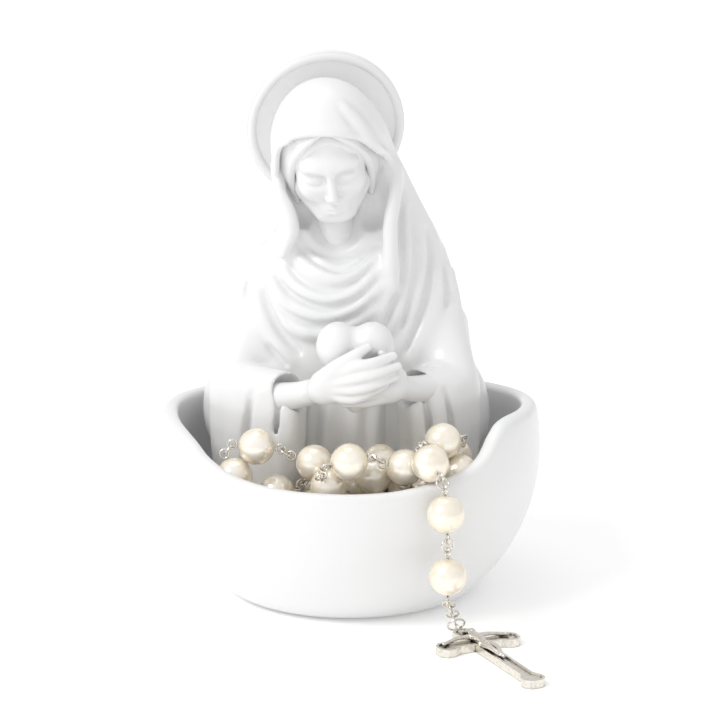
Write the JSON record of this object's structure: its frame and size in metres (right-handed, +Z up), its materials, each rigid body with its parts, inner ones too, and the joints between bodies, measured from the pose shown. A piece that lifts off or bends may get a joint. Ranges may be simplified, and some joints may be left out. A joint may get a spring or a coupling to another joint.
{
  "type": "madonna statue",
  "caption": "Glazed porcelain half figure of a praying Madonna with a halo, standing in her own bowl, with a pearl rosary lying in it and hanging over the rim.",
  "frame": {"origin": "centre of the bowl's flat foot, on the floor it stands on", "axes": "+Z up, the figure faces -Y, +X to the right as seen from the front"},
  "size_m": [0.109, 0.1406, 0.1531],
  "materials": {
    "porcelain": "smooth white glaze, glossy",
    "pearl": "cream pearl lacquer over a bead, soft lustre",
    "silver": "antiqued silver-coloured plating, darker in the recesses"
  },
  "bodies": {
    "statue": {"bowl": "porcelain", "gown": "porcelain", "mantle": "porcelain", "veil": "porcelain", "head": "porcelain", "hair": "porcelain", "collar_drape": "porcelain", "heart": "porcelain", "right_sleeve": "porcelain", "left_sleeve": "porcelain", "right_hand": "porcelain", "left_hand": "porcelain", "halo": "porcelain"},
    "rosary_heap": {"decade_pearls": "pearl", "father_pearls": "pearl", "pendant_pearls": "pearl", "heap_eye_pins": "silver", "heap_jump_rings": "silver", "centre_medal": "silver"},
    "rim_link": {"rim_ring": "silver"},
    "second_pin": {"second_eye_pin": "silver"},
    "second_pearl": {"second_pearl": "pearl"},
    "between_link": {"between_ring": "silver"},
    "first_pin": {"first_eye_pin": "silver"},
    "first_pearl": {"first_pearl": "pearl"},
    "drop_chain": {"drop_rings": "silver", "crucifix_ring": "silver"},
    "crucifix": {"crucifix_cross": "silver", "crucifix_corpus": "silver", "crucifix_scroll": "silver"}
  },
  "joints": [
    {"name": "rosary_lift", "type": "slide", "parent": "statue", "child": "rosary_heap", "axis": [0, 0, 1], "range_m": [0, 0.004]},
    {"name": "rim_ring_swing", "type": "hinge", "parent": "rosary_heap", "child": "rim_link", "pos_m": [0.02432, -0.05288, 0.04469], "axis": [0.3247, -0.706, 0.6293], "range_deg": [0, 15]},
    {"name": "second_pearl_swing", "type": "hinge", "parent": "rim_link", "child": "second_pin", "pos_m": [0.02491, -0.05417, 0.04294], "axis": [-0.9085, -0.4179, 0], "range_deg": [0, 20]},
    {"name": "second_pearl_spin", "type": "hinge", "parent": "second_pin", "child": "second_pearl", "pos_m": [0.02531, -0.05503, 0.03636], "axis": [0.0582, -0.1264, -0.9903], "continuous": true},
    {"name": "between_ring_swing", "type": "hinge", "parent": "second_pin", "child": "between_link", "pos_m": [0.02573, -0.05594, 0.02863], "axis": [0.4168, -0.9063, 0.0698], "range_deg": [0, 10]},
    {"name": "first_pearl_swing", "type": "hinge", "parent": "between_link", "child": "first_pin", "pos_m": [0.0258, -0.05608, 0.02639], "axis": [-0.9085, -0.4179, 0], "range_deg": [0, 15]},
    {"name": "first_pearl_spin", "type": "hinge", "parent": "first_pin", "child": "first_pearl", "pos_m": [0.02589, -0.0563, 0.01974], "axis": [0.0146, -0.0317, -0.9994], "continuous": true},
    {"name": "drop_chain_swing", "type": "hinge", "parent": "first_pin", "child": "drop_chain", "pos_m": [0.02623, -0.05573, 0.01226], "axis": [-0.1871, -0.7139, -0.6748], "range_deg": [0, 10]},
    {"name": "crucifix_swing", "type": "hinge", "parent": "drop_chain", "child": "crucifix", "pos_m": [0.02905, -0.04668, 0.00189], "axis": [-0.9063, -0.4226, 0], "range_deg": [0, 18]}
  ]
}
